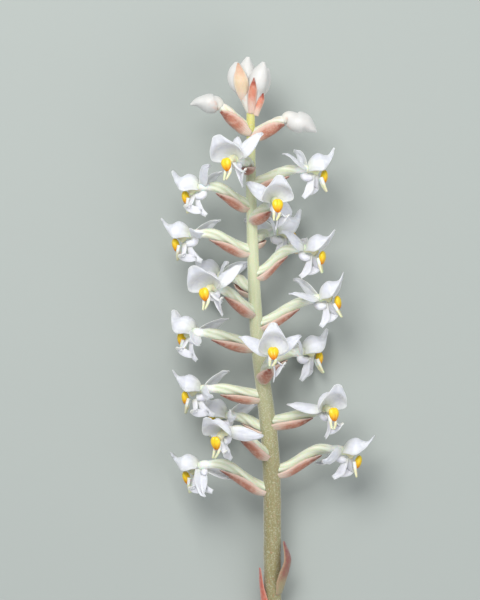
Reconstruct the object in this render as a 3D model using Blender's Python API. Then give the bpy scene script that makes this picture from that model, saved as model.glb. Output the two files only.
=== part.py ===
"""A cut flower spike of a jewel orchid, lying on its back.

The spike lies along +Y with its tip at +Y, and its open flowers look up, to +Z, and to both sides.
It rests on the lower rim of its cut end and on two of the flowers at its back.
"""

import math
from collections import namedtuple

import bmesh
import bpy
from mathutils import Matrix, Vector

# Driving dimensions, in millimetres
MM = 0.001
BLADE = 0.6
GAP = 0.3
NECK = 0.8
OVARY_RADII = (1.3, 1.6, 1.65, 1.2)
OVARY_RIDGE = 0.10
OVARY_TWIST = math.radians(150)
OVARY_BENDS_AT = 0.3
OVARY_BEND = 0.5
BUD_OVARY_BEND = 0.15
BRACT_HALF_WIDTHS = (1.3, 2.6, 2.3, 0.5)
BRACT_CUPS = (0.9, 2.4, 2.1, 0.3)
BRACT_SHARES = (0.02, 0.3, 0.54, 0.78)
BUD_BRACT_SHARES = (0.02, 0.34, 0.67, 0.97)
BRACT_DROPS = (2.7, 3.9, 4.0, 2.6)
BRACT_OUTWARD = Vector((0, -1, 0))
BUD_BRACT_OUTWARD = Vector((0, -0.8, 0.6))

# Places are given in the spike's own frame, in millimetres: x across, y up from the cut end,
# z above the surface. The whole part is then moved so that its box is centred on the origin.
BOX_MIDDLE = Vector((-1.3, 90.95, 0.0))

# The stem's centreline and its radius at the same places
STEM_LINE = [
    Vector((0.3, 0.0, 2.6)),
    Vector((0.2, 25.0, 7.9)),
    Vector((-0.4, 60.0, 13.6)),
    Vector((-4.7, 98.0, 17.2)),
    Vector((-6.3, 135.0, 19.2)),
    Vector((-6.6, 165.5, 20.2)),
]
STEM_RADII = (2.8, 2.75, 2.7, 2.1, 1.65, 1.3)

# Each open flower: the height at which it leaves the stem, the middle of the flower, the direction
# that it faces (degrees round the spike: 0 right, 90 up from the surface, 180 left, 270 down), its
# tilt towards the spike's tip, the lateral sepals on its own left and right, how far the hood is
# rolled up at its tip (up to 1) or spread open (down to -1), the swing and turn of its lip, and the
# roll of the whole flower. Each sepal has the angles by which it is lifted, swept back and twisted.
# Angles are in degrees.
Sepal = namedtuple("Sepal", "lift sweep twist")
Flower = namedtuple("Flower", "height x y z facing tilt left right curl swing turn roll", defaults=(0,))
FLOWERS = [
    Flower(148.8, -11.2, 150.4, 35.0, 122, 2, Sepal(34, -16, 0), Sepal(75, 8, 0), -0.9, 0, 15, 15),
    Flower(136.4, -22.0, 141.8, 22.0, 208, -12, Sepal(38, 8, 40), Sepal(24, -20, -25), 0.3, 0, 0),
    Flower(143.2, 10.5, 147.5, 22.0, 345, -4, Sepal(30, -28, 10), Sepal(36, 18, -22), 0.2, 0, 0),
    Flower(132.4, 0.6, 137.3, 34.2, 78, 6, Sepal(-24, 12, 0), Sepal(42, -4, 0), -0.3, 0, 0),
    Flower(122.4, -24.8, 127.2, 21.0, 199, -13, Sepal(-8, 0, 30), Sepal(20, 4, -30), 0.5, -10, 0),
    Flower(125.5, 1.0, 128.0, 10.0, 335, 0, Sepal(25, 0, 0), Sepal(25, 0, 0), 0.3, 0, 0),
    Flower(114.7, 10.1, 122.8, 20.0, 12, -8, Sepal(12, -16, 25), Sepal(28, -4, -10), 0.2, 0, 0),
    Flower(103.2, -18.0, 110.6, 30.0, 124, 0, Sepal(26, -8, -10), Sepal(30, 0, 20), -0.9, 0, 10, 19),
    Flower(110.0, -16.0, 114.5, 6.32, 205, 0, Sepal(25, 0, 0), Sepal(25, 0, 0), 0.3, 0, 0),
    Flower(93.0, -23.6, 97.0, 19.0, 219, -2, Sepal(-30, 4, 35), Sepal(24, -4, -32), 0.1, 0, 0),
    Flower(99.2, 14.4, 107.5, 19.0, 8, 6, Sepal(52, 8, 18), Sepal(16, 8, -42), 0.3, 0, 0),
    Flower(82.8, -0.2, 90.0, 32.5, 83, 23, Sepal(34, -36, -10), Sepal(30, -40, 0), 0.0, 0, 0),
    Flower(86.8, 9.3, 90.8, 6.32, 335, 0, Sepal(25, 0, 0), Sepal(25, 0, 0), 0.3, 0, 0),
    Flower(77.5, -21.5, 79.3, 17.0, 194, -8, Sepal(-16, -8, -15), Sepal(32, 4, -18), 0.9, -20, 0),
    Flower(66.6, -13.5, 71.0, 8.0, 205, 0, Sepal(-5, 0, 0), Sepal(25, 0, 0), 0.3, 0, 0),
    Flower(58.9, -14.2, 66.2, 27.5, 126, -16, Sepal(-18, -4, 0), Sepal(10, 8, 10), -0.2, 0, -10),
    Flower(69.1, 16.1, 73.1, 22.0, 58, 4, Sepal(14, 0, 30), Sepal(12, -4, -38), -0.2, 0, 0),
    Flower(48.0, -22.0, 55.4, 15.5, 205, -18, Sepal(-62, -32, 30), Sepal(-40, 0, 10), 0.9, -10, 0),
    Flower(53.6, 21.6, 60.2, 15.5, 2, -16, Sepal(-40, 0, 0), Sepal(-26, -12, -8), 0.7, 0, 0),
]

# Each side bud: its height on the stem, its midline and its radii along that
Bud = namedtuple("Bud", "name height midline radii")
SIDE_BUDS = [
    Bud(
        "bud_left",
        159.3,
        [
            (-16.3, 167.2, 21.0),
            (-18.4, 167.8, 21.3),
            (-20.6, 168.1, 21.4),
            (-23.0, 168.2, 21.4),
            (-25.3, 167.5, 21.0),
        ],
        (1.5, 2.8, 3.05, 1.8, 0.25),
    ),
    Bud(
        "bud_right",
        158.1,
        [
            (4.2, 163.0, 21.0),
            (7.2, 162.2, 21.3),
            (10.2, 161.6, 21.4),
            (12.4, 160.1, 21.2),
            (13.8, 159.0, 20.8),
        ],
        (1.5, 2.8, 3.3, 1.7, 0.25),
    ),
]

# The unopened buds at the tip, with one bract in front of each of the front three
TIP_BUD_ROOT = Vector((-6.6, 166.3, 20.2))
TIP_BUD_RADII = (1.1, 2.6, 3.1, 2.4, 0.5)
TIP_BUDS = [
    [(-8.4, 171.5, 20.6), (-10.3, 174.8, 21.0), (-11.1, 177.8, 21.0), (-11.0, 180.7, 20.8)],
    [(-7.0, 172.0, 18.6), (-7.6, 175.6, 17.6), (-7.7, 179.2, 17.4), (-7.4, 182.4, 17.6)],
    [(-5.2, 171.5, 21.0), (-4.3, 174.6, 22.0), (-3.4, 177.6, 22.4), (-2.6, 180.7, 22.2)],
    [(-5.2, 171.0, 19.2), (-3.6, 173.6, 18.6), (-2.4, 176.2, 18.4), (-1.2, 178.8, 18.6)],
]
TipBract = namedtuple("TipBract", "name line half_widths")
TIP_BRACTS = [
    TipBract(
        "front",
        [(-6.5, 166.0, 21.0), (-6.3, 169.4, 23.4), (-5.9, 172.8, 25.2), (-5.7, 176.0, 25.4)],
        (0.9, 1.3, 1.2, 0.1),
    ),
    TipBract(
        "left",
        [(-7.8, 167.4, 20.8), (-9.0, 171.4, 23.7), (-9.8, 175.6, 24.7), (-10.5, 180.4, 22.4)],
        (0.9, 2.0, 2.2, 0.3),
    ),
    TipBract(
        "right",
        [(-5.3, 165.8, 20.8), (-4.3, 167.6, 22.0), (-3.5, 169.4, 22.6), (-2.7, 171.0, 22.2)],
        (0.9, 1.2, 1.2, 0.2),
    ),
]
TIP_BRACT_CUPS = (0.5, 0.9, 0.9, 0.05)

# The sheath bracts that clasp the lower stem: the direction that each faces (degrees round the
# spike), and along it the heights, the distances of its back from the middle of the stem, and the
# angles that it covers to each side
Sheath = namedtuple("Sheath", "name direction heights reaches covers")
SHEATHS = [
    Sheath(
        "sheath_bract_right",
        24,
        (15.5, 19.5, 22.5, 26.5, 32.0),
        (3.75, 4.3, 5.2, 5.8, 3.9),
        (60, 62, 46, 28, 8),
    ),
    Sheath(
        "sheath_bract_left",
        156,
        (5.0, 9.5, 14.0, 18.5, 23.6),
        (3.75, 3.75, 3.8, 4.2, 4.4),
        (60, 58, 42, 22, 7),
    ),
]

# The shape of one flower in its own frame, in millimetres: x forward, y to the flower's left, z
# towards the hood. The hood is given by its crest and by what leads from there to its lower edges.
OVARY_END = Vector((-2.4, 0, -0.3))
HOOD_CREST = [(0.2, 0, 0.9), (1.3, 0, 3.4), (3.3, 0, 5.0), (5.3, 0, 4.7), (7.1, 0, 5.0), (8.6, 0, 7.3)]
HoodForm = namedtuple("HoodForm", "half_widths turns sags")
PLAIN_HOOD = HoodForm(
    (1.2, 3.2, 4.5, 4.7, 3.6, 1.2),
    (70, 95, 100, 90, 70, 35),
    [(0.3, 0, -1.6), (0.6, 0, -3.8), (0.7, 0, -5.3), (0.1, 0, -4.0), (0, 0, -1.7), (-0.1, 0, -0.4)],
)
ROLLED_HOOD = HoodForm(
    (1.2, 3.2, 4.3, 3.9, 1.9, 0.9),
    (70, 95, 100, 92, 75, 50),
    [(0.3, 0, -1.6), (0.6, 0, -3.8), (0.7, 0, -5.3), (0.1, 0, -4.0), (0, 0, -1.6), (-0.1, 0, -0.3)],
)
OPEN_HOOD = HoodForm(
    (1.3, 3.6, 5.3, 5.7, 4.4, 1.8),
    (70, 90, 88, 76, 60, 40),
    [(0.3, 0, -1.6), (0.6, 0, -3.6), (0.7, 0, -4.7), (0.2, 0, -3.5), (0, 0, -1.5), (-0.1, 0, -0.5)],
)
SEPAL_REACH = [(0.2, 0.7), (-1.0, 2.8), (-2.4, 5.2), (-3.8, 7.4), (-5.2, 8.9), (-6.8, 9.4)]
SEPAL_HALF_WIDTHS = (1.1, 2.2, 2.3, 1.7, 0.9, 0.35)
SEPAL_CUPS = (0.4, 0.7, 0.7, 0.5, 0.2, 0.05)
SEPAL_SPLAY = 0.3
PETAL_TURNS = (math.radians(50),) * 6
SAC_LINE = [(-0.4, 0, -0.7), (-0.5, 0, -2.0), (0.5, 0.1, -2.6), (2.2, 0.2, -2.4)]
SAC_RADII = (0.9, 1.2, 1.2, 0.9)
CLAW_EDGES = [
    [(1.8, 0.1, -1.7), (2.0, 0.5, -4.0), (1.7, 0.8, -6.1), (0.9, 0.7, -7.6), (-0.2, 0.4, -8.9)],
    [(3.2, 0.2, -1.4), (3.5, 0.8, -2.7), (3.8, 1.6, -3.9), (4.1, 2.4, -4.8), (4.4, 3.2, -5.5)],
]
CLAW_HALF_WIDTHS = [(1.1, 1.1, 1.35, 1.0, 0.7), (1.0, 1.0, 1.0, 0.95, 0.9)]
CLAW_OUTWARD = Vector((0.3, 0.93, 0.2))
STRAP_CUP = 0.25
LIP_LINE = [(5.0, 3.9, -4.7), (4.4, 3.1, -5.4), (3.5, 2.2, -6.1), (2.3, 1.4, -6.8), (1.0, 0.8, -7.5)]
LIP_HALF_WIDTHS = (0.7, 1.15, 1.25, 1.1, 0.6)
LIP_CUPS = (0.15, 0.3, 0.25, 0.1, 0.05)
LIP_OUTWARD = Vector((0.45, 0.85, 0.3))
COLUMN_LINE = [(0.4, 0, 0.1), (2.2, 0, 0.1), (4.0, -0.2, -0.9)]
COLUMN_RADII = (1.25, 1.4, 1.15, 1.15)
BEAK_LINES = [
    [(3.6, 0.1, -1.8), (4.4, 0.3, -5.0), (6.7, -0.7, -6.7)],
    [(3.6, -0.6, -1.8), (4.4, -1.4, -5.0), (6.7, -1.7, -6.7)],
]
BEAK_RADII = (0.7, 0.5, 0.35)
ANTHER_CENTRE = Vector((6.1, -0.2, -2.0))
ANTHER_HALF_SIZES = Vector((1.35, 2.2, 2.3))
ANTHER_TAPER = 0.3

# How finely the blades are cut into facets, across and along, and the rods, round and along, and
# the shares of the facets that are kept after a union
HOOD_FACETS = (4, 5)
SEPAL_FACETS = (2, 4)
LIP_FACETS = (2, 3)
STRAP_FACETS = (1, 3)
BRACT_FACETS = (2, 4)
SHEATH_FACETS = (6, 6)
STEM_FACETS = (10, 18)
OVARY_FACETS = (6, 6)
COLUMN_FACETS = (6, 4)
SAC_FACETS = (5, 3)
BEAK_FACETS = (4, 2)
SIDE_BUD_FACETS = (8, 8)
TIP_BUD_FACETS = (8, 6)
ANTHER_SUBDIVISIONS = 2
SHARP_ANGLE = math.radians(40)
MERGED = 1e-4
STEM_KEPT_SHARE = 0.8
BLOOM_KEPT_SHARE = 0.6

UP_THE_SPIKE = Vector((0, 1, 0))
UP = Vector((0, 0, 1))


def along(stations, share):
    """The value at a share of the way along a smooth curve through numbers or vectors."""
    spans = len(stations) - 1
    span = min(int(share * spans), spans - 1)
    t = share * spans - span
    here, there = stations[span], stations[span + 1]
    before = stations[span - 1] if span else here * 2 - there
    after = stations[span + 2] if span + 2 <= spans else there * 2 - here
    return (
        here
        + (there - before) * (t / 2)
        + (before * 2 - here * 5 + there * 4 - after) * (t * t / 2)
        + (here * 3 - before - there * 3 + after) * (t * t * t / 2)
    )


def heading(line, share):
    step = 0.01
    return (along(line, min(share + step, 1)) - along(line, max(share - step, 0))).normalized()


def stem_share(height):
    """The share of the stem's line at a height above the cut end."""
    low, high = 0.0, 1.0
    for _ in range(30):
        middle = (low + high) / 2
        if along(STEM_LINE, middle).y < height:
            low = middle
        else:
            high = middle
    return low


def vectors(points):
    return [Vector(point) for point in points]


def blend(first, second, share):
    """A list of values between two lists."""
    return [a + (b - a) * share for a, b in zip(first, second)]


def sheet(across, steps):
    """A flat grid, with each corner's share of the way across and along, by the corner's index."""
    mesh = bmesh.new()
    bmesh.ops.create_grid(mesh, x_segments=across, y_segments=steps, size=0.5)
    mesh.verts.index_update()
    return mesh, [(vertex.co.x + 0.5, vertex.co.y + 0.5) for vertex in mesh.verts]


def blade(line, half_widths, sags, turns, outward, across, steps):
    """A thick blade along a line. Each cross-section is an arc, from the line down to its edges."""

    def surface(side_share, share):
        side = outward.cross(heading(line, share)).normalized()
        turn = along(turns, share)
        angle = (side_share * 2 - 1) * turn
        out = math.sin(angle) / math.sin(min(turn, math.pi / 2))
        drop = (1 - math.cos(angle)) / (1 - math.cos(turn))
        return along(line, share) + side * (along(half_widths, share) * out) + along(sags, share) * drop

    def inner_surface(side_share, share):
        step = 0.02
        ahead = surface(side_share, min(share + step, 1)) - surface(side_share, max(share - step, 0))
        aside = surface(side_share + step, share) - surface(side_share - step, share)
        return surface(side_share, share) - ahead.cross(aside).normalized() * BLADE

    mesh, shares = sheet(across, steps)
    number = mesh.verts.layers.int.new("number")
    for vertex in mesh.verts:
        vertex[number] = vertex.index
        vertex.co = surface(*shares[vertex.index])
    bmesh.ops.triangulate(mesh, faces=mesh.faces)
    grown = bmesh.ops.extrude_face_region(mesh, geom=mesh.faces[:], use_keep_orig=True)
    for vertex in grown["geom"]:
        if isinstance(vertex, bmesh.types.BMVert):
            vertex.co = inner_surface(*shares[vertex[number]])
    bmesh.ops.recalc_face_normals(mesh, faces=mesh.faces)
    return mesh


def rod(line, radii, reference, sides, steps, ridge=0.0, twist=0.0):
    """A round rod along a line, with closed ends. A ridge makes every second corner stand out."""

    def surface(round_share, share):
        forward = heading(line, share)
        side = reference.cross(forward).normalized()
        upper = forward.cross(side)
        corner = round(round_share * sides)
        turn = math.tau * round_share + twist * share
        radius = along(radii, share) * (1 + ridge * (1 if corner % 2 else -1))
        return along(line, share) + (side * math.cos(turn) + upper * math.sin(turn)) * radius

    mesh, shares = sheet(sides, steps)
    for vertex in mesh.verts:
        vertex.co = surface(*shares[vertex.index])
    bmesh.ops.remove_doubles(mesh, verts=mesh.verts, dist=MERGED)
    rims = [edge for edge in mesh.edges if edge.is_boundary]
    bmesh.ops.holes_fill(mesh, edges=rims, sides=0)
    bmesh.ops.recalc_face_normals(mesh, faces=mesh.faces)
    return mesh


def finish(name, mesh, material, place=None):
    """Puts a mesh made in millimetres into the scene, in metres."""
    if place:
        bmesh.ops.transform(mesh, matrix=place, verts=mesh.verts)
    bmesh.ops.translate(mesh, vec=-BOX_MIDDLE, verts=mesh.verts)
    bmesh.ops.scale(mesh, vec=(MM, MM, MM), verts=mesh.verts)
    bmesh.ops.triangulate(mesh, faces=mesh.faces)
    data = bpy.data.meshes.new(name)
    mesh.to_mesh(data)
    mesh.free()
    piece = bpy.data.objects.new(name, data)
    piece.data.materials.append(material)
    bpy.context.scene.collection.objects.link(piece)
    return piece


def largest_shell(mesh):
    """Deletes the loose scraps that a union can leave, and keeps the one large closed body."""
    left, shells = set(mesh.verts), []
    while left:
        shell = [left.pop()]
        for vertex in shell:
            for edge in vertex.link_edges:
                other = edge.other_vert(vertex)
                if other in left:
                    left.remove(other)
                    shell.append(other)
        shells.append(shell)
    shells.sort(key=len)
    for scrap in shells[:-1]:
        bmesh.ops.delete(mesh, geom=scrap, context="VERTS")


def grown_together(body, parts, kept_share):
    """Joins the parts to the body in one union, keeps a share of its faces, and removes the parts."""
    group = bpy.data.collections.new(body.name + "_parts")
    bpy.context.scene.collection.children.link(group)
    for part in parts:
        bpy.context.scene.collection.objects.unlink(part)
        group.objects.link(part)
    union = body.modifiers.new("union", "BOOLEAN")
    union.operation = "UNION"
    union.operand_type = "COLLECTION"
    union.collection = group
    union.solver = "MANIFOLD"
    thinning = body.modifiers.new("thinning", "DECIMATE")
    thinning.ratio = kept_share
    bpy.context.view_layer.update()
    graph = bpy.context.evaluated_depsgraph_get()
    joined = bpy.data.meshes.new_from_object(body.evaluated_get(graph))
    body.modifiers.clear()
    body.data = joined
    mesh = bmesh.new()
    mesh.from_mesh(joined)
    largest_shell(mesh)
    mesh.to_mesh(joined)
    mesh.free()
    for part in parts:
        bpy.data.objects.remove(part)
    bpy.data.collections.remove(group)


def make_material(name, colour, roughness):
    material = bpy.data.materials.new(name)
    material.use_nodes = True
    shader = material.node_tree.nodes["Principled BSDF"]
    shader.inputs["Base Color"].default_value = (*colour, 1)
    shader.inputs["Roughness"].default_value = roughness
    shader.inputs["Metallic"].default_value = 0
    return material


def flower_place(flower):
    """The matrix from a flower's own frame to the spike's frame."""
    facing, tilt = math.radians(flower.facing), math.radians(flower.tilt)
    forward = Vector(
        (math.cos(facing) * math.cos(tilt), math.sin(tilt), math.sin(facing) * math.cos(tilt))
    )
    left = UP_THE_SPIKE.cross(forward).normalized()
    hoodward = forward.cross(left)
    upright = Matrix((forward, left, hoodward)).transposed()
    rolled = Matrix.Rotation(math.radians(flower.roll), 3, forward) @ upright
    return Matrix.Translation((flower.x, flower.y, flower.z)) @ rolled.to_4x4()


def ovary_line(height, end, end_heading, bend):
    """The line of an ovary, from the middle of the stem to the base of its flower. The bend is 0
    for a straight one, and 1 for one that leaves the stem level and ends along its flower."""
    start = along(STEM_LINE, stem_share(height))
    reach = end - start
    level = Vector((reach.x, 0, reach.z)).normalized() * reach.length + UP_THE_SPIKE * reach.y
    near_stem = start + reach.lerp(level, bend) * OVARY_BENDS_AT
    near_end = end - reach.lerp(end_heading * reach.length, bend) * OVARY_BENDS_AT
    return [start, near_stem, near_end, end]


def flower_ovary(flower):
    place = flower_place(flower)
    forward = (place @ Vector((1, 0, 0))) - place.translation
    return ovary_line(flower.height, place @ OVARY_END, forward, OVARY_BEND)


def bud_ovary(bud):
    first, second = vectors(bud.midline[:2])
    return ovary_line(bud.height, first, (second - first).normalized(), BUD_OVARY_BEND)


def neck_line(ovary):
    """The start of what an ovary carries: it leaves the ovary's end in line with it."""
    away = heading(ovary, 1)
    return [ovary[-1] + away * GAP, ovary[-1] + away * (GAP + NECK)]


def make_hood(flower, place, material):
    """The hood: the upper sepal and the two petals that are stuck to it, rolled up or spread open."""
    other, share = (ROLLED_HOOD if flower.curl > 0 else OPEN_HOOD), abs(flower.curl)
    half_widths = blend(PLAIN_HOOD.half_widths, other.half_widths, share)
    turns = [math.radians(angle) for angle in blend(PLAIN_HOOD.turns, other.turns, share)]
    sags = blend(vectors(PLAIN_HOOD.sags), vectors(other.sags), share)
    mesh = blade(vectors(HOOD_CREST), half_widths, sags, turns, UP, *HOOD_FACETS)
    return finish("hood", mesh, material, place)


def make_lateral_sepal(hand, sepal, place, material):
    """A lateral sepal, bent back from the flower's face. Hand is 1 on the flower's left."""
    lift, sweep, twist = [math.radians(angle) for angle in sepal]
    sideways = Vector((0, hand * math.cos(lift), math.sin(lift)))
    back = Vector((-math.cos(sweep), 0, 0)) - sideways * math.sin(sweep)
    out = sideways * math.cos(sweep) - Vector((math.sin(sweep), 0, 0))
    line = [back * -x + out * reach for x, reach in SEPAL_REACH]
    level = (Vector((1, 0, 0)) + sideways * SEPAL_SPLAY).normalized()
    outward = Matrix.Rotation(twist * hand, 3, line[-2] - line[0]) @ level
    sags = [outward * -cup for cup in SEPAL_CUPS]
    mesh = blade(line, SEPAL_HALF_WIDTHS, sags, PETAL_TURNS, outward, *SEPAL_FACETS)
    return finish("sepal", mesh, material, place)


def make_lip(flower, place, material):
    """The lip: a sac, two straps with a slit between them, and a slanting blade across their ends."""
    turn = Matrix.Rotation(math.radians(flower.turn), 4, "Z")
    swing = Matrix.Rotation(math.radians(-flower.swing), 4, "Y")
    sac = Vector(SAC_LINE[1])
    hung = place @ Matrix.Translation(sac) @ turn @ swing @ Matrix.Translation(-sac)
    across, level = LIP_OUTWARD.normalized(), CLAW_OUTWARD.normalized()
    mesh = rod(vectors(SAC_LINE), SAC_RADII, UP_THE_SPIKE, *SAC_FACETS)
    parts = [finish("sac", mesh, material, place)]
    for line, half_widths in zip(CLAW_EDGES, CLAW_HALF_WIDTHS):
        sags = [level * -STRAP_CUP] * len(line)
        mesh = blade(vectors(line), half_widths, sags, PETAL_TURNS, level, *STRAP_FACETS)
        parts.append(finish("strap", mesh, material, hung))
    sags = [across * -cup for cup in LIP_CUPS]
    mesh = blade(vectors(LIP_LINE), LIP_HALF_WIDTHS, sags, PETAL_TURNS, across, *LIP_FACETS)
    parts.append(finish("lip", mesh, material, hung))
    return parts


def make_column(name, flower, place, material):
    """The column, from just in front of the ovary, where it is the flower's neck, to its blunt end."""
    line = neck_line(flower_ovary(flower)) + [place @ point for point in vectors(COLUMN_LINE)]
    return finish(name, rod(line, COLUMN_RADII, UP_THE_SPIKE, *COLUMN_FACETS), material)


def make_bloom(name, flower, material):
    """The white flower: hood, lateral sepals, lip and two-pronged beak, grown together on the column."""
    place = flower_place(flower)
    column = make_column(name, flower, place, material)
    parts = [
        make_hood(flower, place, material),
        make_lateral_sepal(1, flower.left, place, material),
        make_lateral_sepal(-1, flower.right, place, material),
    ]
    for prong in BEAK_LINES:
        mesh = rod(vectors(prong), BEAK_RADII, UP_THE_SPIKE, *BEAK_FACETS)
        parts.append(finish("beak", mesh, material, place))
    grown_together(column, parts + make_lip(flower, place, material), BLOOM_KEPT_SHARE)


def make_anther(name, flower, material):
    """The yellow anther cap in front of the end of the column, narrower towards its lower end."""
    mesh = bmesh.new()
    bmesh.ops.create_icosphere(mesh, subdivisions=ANTHER_SUBDIVISIONS, radius=1)
    for vertex in mesh.verts:
        vertex.co.y *= 1 + ANTHER_TAPER * (vertex.co.z - 1) / 2
    bmesh.ops.scale(mesh, vec=ANTHER_HALF_SIZES, verts=mesh.verts)
    bmesh.ops.translate(mesh, vec=ANTHER_CENTRE, verts=mesh.verts)
    finish(name, mesh, material, flower_place(flower))


def make_ovary(line, material):
    mesh = rod(line, OVARY_RADII, UP_THE_SPIKE, *OVARY_FACETS, OVARY_RIDGE, OVARY_TWIST)
    return finish("ovary", mesh, material)


def make_bract(ovary, shares, outward, material):
    """The bract that holds an ovary from outside, between some shares of the ovary's length."""
    line = [along(ovary, share) + outward * drop for share, drop in zip(shares, BRACT_DROPS)]
    sags = [outward * -cup for cup in BRACT_CUPS]
    mesh = blade(line, BRACT_HALF_WIDTHS, sags, PETAL_TURNS, outward, *BRACT_FACETS)
    return finish("bract", mesh, material)


def make_stem(material):
    """The stem with all its ovaries and their bracts."""
    stem = finish("stem", rod(STEM_LINE, STEM_RADII, UP, *STEM_FACETS), material)
    flower_ovaries = [flower_ovary(flower) for flower in FLOWERS]
    bud_ovaries = [bud_ovary(bud) for bud in SIDE_BUDS]
    parts = [make_ovary(line, material) for line in flower_ovaries + bud_ovaries]
    parts += [make_bract(line, BRACT_SHARES, BRACT_OUTWARD, material) for line in flower_ovaries]
    parts += [make_bract(line, BUD_BRACT_SHARES, BUD_BRACT_OUTWARD, material) for line in bud_ovaries]
    grown_together(stem, parts, STEM_KEPT_SHARE)


def make_side_bud(bud, material):
    """A bud just opening, in line with its ovary."""
    line = neck_line(bud_ovary(bud)) + vectors(bud.midline[1:])
    finish(bud.name, rod(line, bud.radii, UP, *SIDE_BUD_FACETS), material)


def make_tip_buds(material):
    """The unopened buds, spreading from one root above the end of the stem, and their bracts."""
    body, *parts = [
        finish("tip_buds", rod([TIP_BUD_ROOT] + vectors(line), TIP_BUD_RADII, UP, *TIP_BUD_FACETS), material)
        for line in TIP_BUDS
    ]
    sags = [UP * -cup for cup in TIP_BRACT_CUPS]
    for bract in TIP_BRACTS:
        mesh = blade(vectors(bract.line), bract.half_widths, sags, PETAL_TURNS, UP, *BRACT_FACETS)
        parts.append(finish("bract", mesh, material))
    grown_together(body, parts, BLOOM_KEPT_SHARE)


def make_sheath_bract(sheath, material):
    """A bract that clasps the stem at its base and stands off from it towards its tip."""
    around = math.radians(sheath.direction)
    outward = Vector((math.cos(around), 0, math.sin(around)))
    places = [along(STEM_LINE, stem_share(height)) for height in sheath.heights]
    line = [place + outward * reach for place, reach in zip(places, sheath.reaches)]
    turns = [math.radians(cover) for cover in sheath.covers]
    half_widths = [reach * math.sin(turn) for reach, turn in zip(sheath.reaches, turns)]
    sags = [outward * (reach * (math.cos(turn) - 1)) for reach, turn in zip(sheath.reaches, turns)]
    finish(sheath.name, blade(line, half_widths, sags, turns, outward, *SHEATH_FACETS), material)


def shade(piece):
    """Smooth over its round faces, and sharp along its edges."""
    piece.data.shade_smooth()
    piece.data.set_sharp_from_angle(angle=SHARP_ANGLE)


def clear_scene():
    for thing in list(bpy.data.objects):
        bpy.data.objects.remove(thing)


def main():
    clear_scene()
    green = make_material("stem_green", (0.52, 0.60, 0.33), 0.7)
    white = make_material("petal_white", (0.86, 0.86, 0.88), 0.5)
    yellow = make_material("anther_yellow", (0.90, 0.55, 0.02), 0.45)
    red = make_material("bract_red", (0.36, 0.09, 0.06), 0.6)
    make_stem(green)
    for number, flower in enumerate(FLOWERS, 1):
        make_bloom(f"bloom_{number:02d}", flower, white)
        make_anther(f"anther_{number:02d}", flower, yellow)
    for bud in SIDE_BUDS:
        make_side_bud(bud, white)
    make_tip_buds(white)
    for sheath in SHEATHS:
        make_sheath_bract(sheath, red)
    for piece in bpy.context.scene.objects:
        shade(piece)


main()
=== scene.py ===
"""The looks of a cut flower spike of a jewel orchid, lying on its back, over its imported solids."""

import math
import random
from collections import namedtuple

import bmesh
import bpy
import numpy as np
from mathutils import Matrix, Vector, noise


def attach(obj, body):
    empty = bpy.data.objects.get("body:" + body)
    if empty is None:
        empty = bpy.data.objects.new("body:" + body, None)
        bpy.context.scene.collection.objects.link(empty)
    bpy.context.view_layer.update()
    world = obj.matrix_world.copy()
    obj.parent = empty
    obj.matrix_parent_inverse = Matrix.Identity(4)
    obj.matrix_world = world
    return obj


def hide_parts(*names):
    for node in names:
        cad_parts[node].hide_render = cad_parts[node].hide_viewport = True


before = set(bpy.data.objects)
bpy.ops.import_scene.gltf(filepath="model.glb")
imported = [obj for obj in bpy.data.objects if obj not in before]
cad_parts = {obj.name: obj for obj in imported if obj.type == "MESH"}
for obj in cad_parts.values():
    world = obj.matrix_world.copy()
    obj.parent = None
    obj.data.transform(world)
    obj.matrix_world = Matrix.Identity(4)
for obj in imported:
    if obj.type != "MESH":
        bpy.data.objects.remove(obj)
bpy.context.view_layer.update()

# Driving dimensions, in millimetres. The solids share nearly all of them.
MM = 0.001
BOX_MIDDLE = Vector((-1.3, 90.95, 0.0))
OVARY_RADII = (1.3, 1.6, 1.65, 1.2)
OVARY_RIDGE = 0.10
OVARY_FINE_RIDGE = 0.03
OVARY_TWIST = math.radians(150)
OVARY_BENDS_AT = 0.3
OVARY_BEND = 0.5
BUD_OVARY_BEND = 0.15
BRACT_HALF_WIDTHS = (1.3, 2.6, 2.3, 0.5)
BRACT_CUPS = (0.9, 2.4, 2.1, 0.3)
BRACT_SHARES = (0.02, 0.3, 0.54, 0.78)
BUD_BRACT_SHARES = (0.02, 0.34, 0.67, 0.97)
BRACT_DROPS = (2.7, 3.9, 4.0, 2.6)
BRACT_OUTWARD = Vector((0, -1, 0))
BUD_BRACT_OUTWARD = Vector((0, -0.8, 0.6))
STEM_LINE = [
    Vector((0.3, 0.0, 2.6)),
    Vector((0.2, 25.0, 7.9)),
    Vector((-0.4, 60.0, 13.6)),
    Vector((-4.7, 98.0, 17.2)),
    Vector((-6.3, 135.0, 19.2)),
    Vector((-6.6, 165.5, 20.2)),
]
STEM_RADII = (2.8, 2.75, 2.7, 2.1, 1.65, 1.3)

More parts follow.
